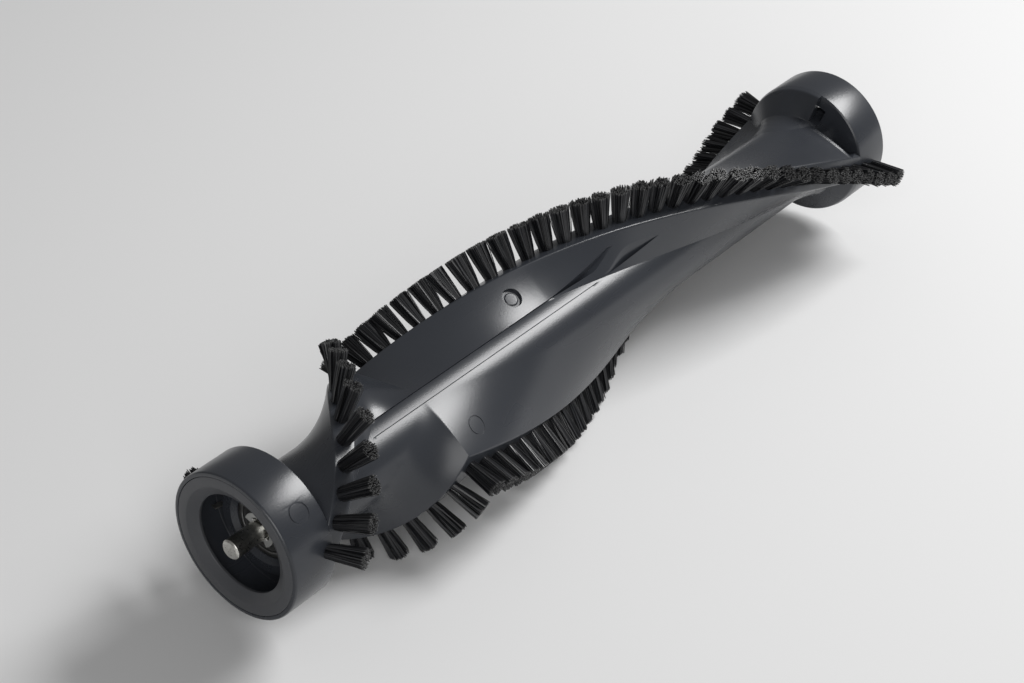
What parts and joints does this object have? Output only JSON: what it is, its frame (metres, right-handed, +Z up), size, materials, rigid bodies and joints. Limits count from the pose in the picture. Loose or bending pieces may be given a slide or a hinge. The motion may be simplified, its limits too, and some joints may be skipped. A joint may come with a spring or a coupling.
{
  "type": "vacuum brush roll",
  "caption": "Twisted moulded brush roll with two helical rows of bristle tufts, hollow drum ends, a spinning axle pin and a hexagonal drive socket.",
  "frame": {"origin": "below the middle of the roll, on the surface it rests on", "axes": "+X along the roll's axis, from the axle pin's end to the drive end; +Z up; the roll lies on its bristles"},
  "size_m": [0.2382, 0.055, 0.0542],
  "materials": {
    "body_plastic": "satin moulded charcoal plastic",
    "ring_plastic": "satin moulded charcoal plastic",
    "bristle": "black nylon filaments",
    "anchor_wire": "drawn flat wire",
    "race_steel": "ground bearing steel",
    "ball_steel": "polished bearing steel",
    "cage_steel": "pressed steel",
    "shield_steel": "pressed steel",
    "pin_steel": "turned bright steel",
    "clip_steel": "spring steel",
    "washer_steel": "stamped steel",
    "coupling_plastic": "acetal, natural grey"
  },
  "bodies": {
    "roll": {"roller_body": "body_plastic", "end_ring_near": "ring_plastic", "end_ring_far": "ring_plastic", "bearing_outer_race": "race_steel", "bearing_shield_front": "shield_steel", "bearing_shield_rear": "shield_steel", "drive_coupling": "coupling_plastic", "tufts_a_long": "bristle", "tufts_a_short": "bristle", "tufts_b_long": "bristle", "tufts_b_short": "bristle", "anchors_a_long": "anchor_wire", "anchors_a_short": "anchor_wire", "anchors_b_long": "anchor_wire", "anchors_b_short": "anchor_wire"},
    "axle": {"axle_pin": "pin_steel", "bearing_inner_race": "race_steel", "retaining_clip": "clip_steel", "thrust_washer": "washer_steel"},
    "ball_cage": {"bearing_balls": "ball_steel", "bearing_cage": "cage_steel"}
  },
  "joints": [
    {"name": "axle_spin", "type": "hinge", "parent": "roll", "child": "axle", "pos_m": [-0.1062, 0, 0.0267], "axis": [1, 0, 0], "continuous": true},
    {"name": "cage_spin", "type": "hinge", "parent": "roll", "child": "ball_cage", "pos_m": [-0.1062, 0, 0.0267], "axis": [1, 0, 0], "continuous": true}
  ],
  "couplings": [
    {"joint": "cage_spin", "follows": "axle_spin", "ratio": 0.3689}
  ]
}
